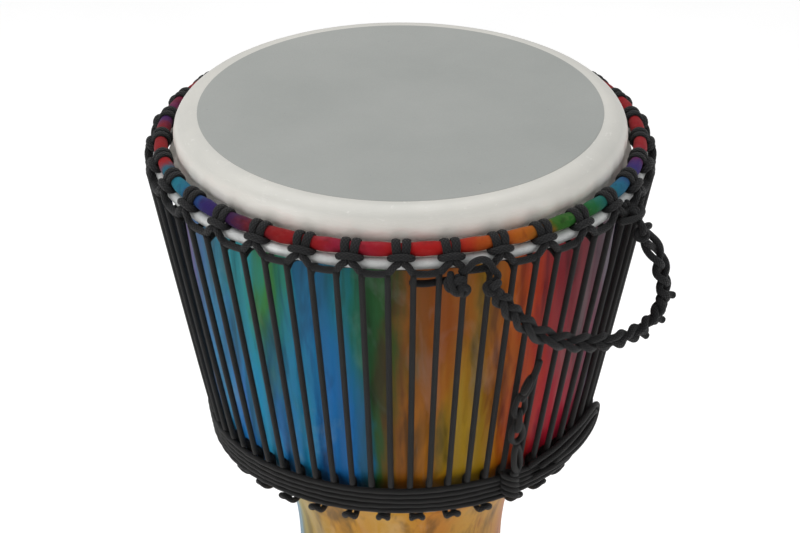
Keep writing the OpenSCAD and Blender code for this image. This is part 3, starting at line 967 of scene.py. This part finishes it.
def make_lacing():
    """The lacing between the two ropes: up one side of each hitch, over it and down the other."""
    rng = np.random.default_rng(SEED + 3)
    lines = []
    for k in range(HITCHES):
        slack = rng.normal(0, 0.05, 2)
        left = [at(k * STEP - RUN_HALF + slack[0], r, d) for r, d in LACING_RUN[::-1]]
        over = [at(k * STEP + side * RUN_HALF * 0.9, 157.6, 36.4) for side in (-1, 1)]
        right = [at(k * STEP + RUN_HALF + slack[1], r, d) for r, d in LACING_RUN]
        lines.append(spaced(smooth(left + over + right, 12), 0.0034))
    lacing = ropes("lacing_rope_runs", lines, LACING_ROPE_R, LACING_LOOK)
    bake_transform(lacing)
    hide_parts("lacing")


BOTTOM_HALF = [
    [-11.75, 119.6, 232.0], [-6.6, 119.9, 232.6], [-3.8, 120.6, 235.4], [-2.9, 118.0, 236.2],
    [-2.7, 115, 235.8], [-2.6, 111.4, 237], [-2.5, 109.9, 240.5], [-2.6, 111.4, 244.6],
    [-2.8, 115, 246.4], [-3.3, 119.2, 245.6], [-3.0, 122.4, 243.0], [0, 123.6, 241.2],
]


def make_bottom_rope():
    """The rope hitched all the way round the bottom ring, half a step off the top one."""
    rng = np.random.default_rng(SEED + 4)
    points = []
    for k in range(HITCHES):
        lean, drop, wide = rng.normal(0, (0.5, 0.35, 0.12))
        for t, r, d in BOTTOM_HALF + [[-t, r, d] for t, r, d in BOTTOM_HALF[-2:0:-1]]:
            free = min(1.0, max(0.0, (d - 233) / 4))
            points.append(beside((k + 0.5) * STEP, t * (1 + wide * free) + lean * free, r, d + drop * free))
    surface = Surface()
    surface.tube(smooth(points, 5, closed=True), LACING_ROPE_R, 12, closed=True)
    rope = surface.make("bottom_rope_round", LACING_LOOK)
    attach(rope, "drum")
    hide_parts("bottom_hitches", "bottom_links")


# -------- waist wrap and chained tail


WRAP_DROP = 1.4


def make_wrap():
    """Five turns of spare rope, each riding up over the lacing and sagging a little between."""
    rng = np.random.default_rng(SEED + 5)
    angles = once_round(640)
    for i, (ring_r, depth, rope_r) in enumerate(WRAPS):
        over = 0.16 * np.cos(angles * HITCHES * 2)
        radii = ring_r + 0.1 + over + 0.22 * bumpy(angles, 19, rng)
        depths = depth + WRAP_DROP + 0.35 * bumpy(angles, 13, rng) + 0.1 * bumpy(angles, 47, rng)
        surface = Surface()
        surface.tube(circle(angles, radii, depths), rope_r, 14, closed=True)
        made = surface.make(f"wrap_strand_{i + 1}", LACING_LOOK)
        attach(made, "drum")
        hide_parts(f"wrap_turn_{i + 1}")


WRAP_LIFT = [
    [40, 134.8, 213.6], [48, 135.0, 210.6], [55, 135.6, 207.4], [62, 136.8, 204.8], [68, 137.6, 203],
    [73, 138.0, 204], [77, 137.8, 209], [77.5, 137.4, 214.5], [74, 136.9, 219], [68, 136.3, 221],
    [60, 135.7, 222.5], [50, 135.1, 223.5], [42, 134.2, 224.5],
]
WRAP_LIFT_TWO = [
    [44, 135.4, 217.6], [52, 135.5, 215], [60, 136.0, 211.6], [66, 136.8, 208.6], [71, 137.8, 207.8],
    [74, 137.9, 210.5], [73, 137.3, 214.4], [68, 136.7, 216.8], [60, 136.1, 218.4], [50, 135.7, 219.6],
]


def make_wrap_lift():
    """The spare rope that climbs the wrap on the right and folds down over it."""
    lines = [spaced(smooth(route(r), 10), 0.002) for r in (WRAP_LIFT, WRAP_LIFT_TWO)]
    made = ropes("wrap_fold_rope", lines, LACING_ROPE_R, LACING_LOOK, 14)
    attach(made, "drum")


CHAIN_ROUTE = [
    [34, 138.6, 210], [32.4, 142.6, 191], [31.3, 147, 172], [31, 149.7, 160], [31.4, 152.7, 143],
    [34.8, 157.2, 122],
]
CHAIN_LINKS = [
    [0.13, 23, 6.2, 10], [0.36, 17, 8.8, -6], [0.53, 17, 6.2, 72], [0.70, 17, 9.0, 4], [0.86, 12, 5.4, 60],
]
TAIL_TIP = [
    [[31.0, 152.8, 147], [32.6, 155.2, 139], [33.4, 156.2, 132], [34.2, 157.2, 126], [35.0, 157.4, 119.5]],
    [[32.2, 152.6, 145], [32.0, 153.4, 137], [33.8, 154.6, 131], [34.6, 155.6, 125]],
]


def link_line(centre, along, across, long, wide):
    """A closed loop of rope, long one way and wide the other, in millimetres."""
    t = once_round(72)
    x = long / 2 * np.cos(t)
    y = wide / 2 * np.sin(t) * (1 - 0.22 * np.cos(t))
    return centre + (x[:, None] * along + y[:, None] * across) * MM


def make_tail():
    """The chained tail: links looped through each other, a free tip, and the knot on the wrap."""
    line = smooth(route(CHAIN_ROUTE), 30)
    along, _, _ = frames(line)
    rope_r = 2.1
    surface = Surface()
    for share, long, wide, tilt in CHAIN_LINKS:
        i = int(share * (len(line) - 1))
        _, _, out = local_axes(CHAIN_ROUTE[0][0] + 2)
        right = np.cross(out, along[i])
        out = np.cross(along[i], right)
        turn = math.radians(tilt)
        across = right * math.cos(turn) + out * math.sin(turn)
        surface.tube(link_line(line[i], along[i], across, long, wide), rope_r, 12, closed=True)
    for tip in TAIL_TIP:
        surface.tube(smooth(route(tip), 10), rope_r, 12)
    tail = surface.make("chained_tail_rope", LACING_LOOK)
    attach(tail, "drum")
    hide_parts("tail_chain")

    t = np.linspace(0, 1, 120)
    coil_turns = 4.2
    angle = 33 + 1.1 * (t - 0.5) + np.degrees(5.2 / 136) * np.sin(2 * math.pi * coil_turns * t)
    radius = 134.6 + 3.4 * np.cos(2 * math.pi * coil_turns * t) - 2.6 * t
    depth = 212 + 20 * t + 2.2 * np.sin(2 * math.pi * coil_turns * t)
    coil = circle(np.radians(angle), radius, depth)
    made = ropes("wrap_knot_rope", [coil], 1.95, LACING_LOOK)
    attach(made, "drum")
    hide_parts("wrap_knot")


# -------- shell and foot


FOOT_R = (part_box("foot_ring")[1].x / MM) - 3
STEM_R = 70.5
STEM_DEPTH = 335
SHELL_BOTTOM = HEAD_Z / MM - 3
BOWL_OUTLINE = [
    [147.5, 24], [146.5, 60], [141.8, 100], [135.2, 150], [128.4, 195], [124.6, 213], [120.4, 226],
    [113.0, 235], [101, 244], [93, 254], [84.5, 268], [77, 286], [STEM_R + 2, 306],
]
WALL_T = 7.0
FOOT_SHARE = [[0, 0], [0.16, 0.04], [0.34, 0.15], [0.53, 0.33], [0.72, 0.58], [0.88, 0.84], [1, 1]]


def make_shell():
    """The goblet: bead, bowl, stem and foot as one wall, coloured outside and bare inside."""
    flare, drop = FOOT_R - STEM_R, SHELL_BOTTOM - STEM_DEPTH
    stem = [[STEM_R + b * flare, STEM_DEPTH + a * drop] for a, b in FOOT_SHARE]
    outer = flat(BOWL_OUTLINE + stem)
    bead = arc(137.6, 13.9, 12.7, 90, -40, 20)
    inner = [q for q in inset(outer, WALL_T) if 46 < q[1] < SHELL_BOTTOM - 4]
    foot = [[FOOT_R - 0.3, SHELL_BOTTOM - 0.1], [FOOT_R - 6.5, SHELL_BOTTOM - 0.1]]
    rim = [[128, 40], [128, 14], [128, 4], [131, 1.2]]
    surface = Surface()
    outside = np.vstack([[[131, 1.2]], bead, outer, foot])
    lathe(surface, outside, closed=False)
    lathe(surface, np.vstack([foot[1:], inner[::-1], rim]), closed=False, slot=1)
    shell = surface.make("shell_goblet", shell_material(), inside_material(), hard=40)
    face_outward(shell.data, merge=1e-6)
    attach(shell, "drum")
    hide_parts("shell")


def make_foot():
    """The rubber edging: a moulded lip over the foot with two grooves and a rounded tread."""
    t = 3.0
    top, low = HEAD_Z / MM - 13.4, HEAD_Z / MM
    lean = 0.31 * 0.72
    wall = [[FOOT_R - lean * (SHELL_BOTTOM - d), d] for d in np.linspace(top, SHELL_BOTTOM, 9)]
    outer = []
    for r, d in wall:
        groove = 0.55 * sum(math.exp(-(((d - top - g) / 0.8) ** 2)) for g in (3.6, 6.6))
        outer.append([r + t - groove, d])
    lip = [[wall[0][0] + 0.1, top], [wall[0][0] + t * 0.55, top - 0.5]]
    tread = [[FOOT_R + t - 0.2, low - 1.2], [FOOT_R + t - 0.9, low - 0.3], [FOOT_R + t - 2, low]]
    under = [[FOOT_R - 3, low], [FOOT_R - 5.8, low], [FOOT_R - 6.9, low - 0.8]]
    under += [[FOOT_R - 7, SHELL_BOTTOM + 0.05], [FOOT_R + 0.2, SHELL_BOTTOM + 0.05]]
    finer = flat(np.vstack([lip, outer]))
    inner = [[r + 0.15, d] for r, d in wall[::-1]]
    surface = Surface()
    lathe(surface, np.vstack([finer, tread, under, inner]))
    foot = surface.make("foot_rubber_ring", rubber_material(), hard=45)
    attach(foot, "drum")
    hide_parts("foot_ring")


# -------- floor and lights


def make_floor():
    """A pale, flat studio floor."""
    look = Look("studio_floor", roughness=0.9, specular_ior_level=0.1, emission_strength=0.22)
    grain = look.noise(3.0, 3.0)
    look.finish(look.mix(look.fit(grain, 0.3, 0.7), colour("fafafa"), colour("ffffff")))
    size = 14.0
    mesh = bpy.data.meshes.new("studio_floor")
    corners = [(-size, -size, 0), (size, -size, 0), (size, size, 0), (-size, size, 0)]
    mesh.from_pydata(corners, [], [(0, 1, 2, 3)])
    mesh.materials.append(look.material)
    floor = in_scene("studio_floor", mesh)


def area_light(name, place, aim, size, power):
    """A soft box that points from its place at its aim."""
    data = bpy.data.lights.new(name, "AREA")
    data.shape = "RECTANGLE"
    data.size, data.size_y = size
    data.energy = power
    made = in_scene(name, data)
    made.location = place
    made.rotation_euler = (Vector(aim) - Vector(place)).to_track_quat("-Z", "Y").to_euler()


def make_lights():
    """Even white surroundings, a big overhead box and a weaker one at each side."""
    world = bpy.data.worlds.new("studio")
    world.use_nodes = True
    world.node_tree.nodes["Background"].inputs[0].default_value = (1.0, 1.0, 1.0, 1.0)
    world.node_tree.nodes["Background"].inputs[1].default_value = 0.46
    bpy.context.scene.world = world
    middle = (0.0, 0.0, 0.45)
    area_light("overhead_box", (-0.3, 0.4, 2.6), (0.0, 0.0, 0.4), (2.6, 2.0), 30.0)
    area_light("left_box", (-2.0, -1.3, 1.3), middle, (0.9, 1.8), 20.0)
    area_light("right_box", (2.1, -1.1, 1.4), middle, (0.8, 1.8), 12.0)


bpy.context.scene.view_settings.view_transform = "Standard"
make_camera()
make_handle()
make_head()
make_rings()
make_cradle()
make_cradle_knot()
make_ties()
make_lacing()
make_bottom_rope()
make_wrap()
make_wrap_lift()
make_tail()
make_shell()
make_foot()
make_floor()
make_lights()
for steel in ("crown_ring", "flesh_ring", "bottom_ring"):
    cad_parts[steel].data.materials.clear()
    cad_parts[steel].data.materials.append(STEEL_LOOK)
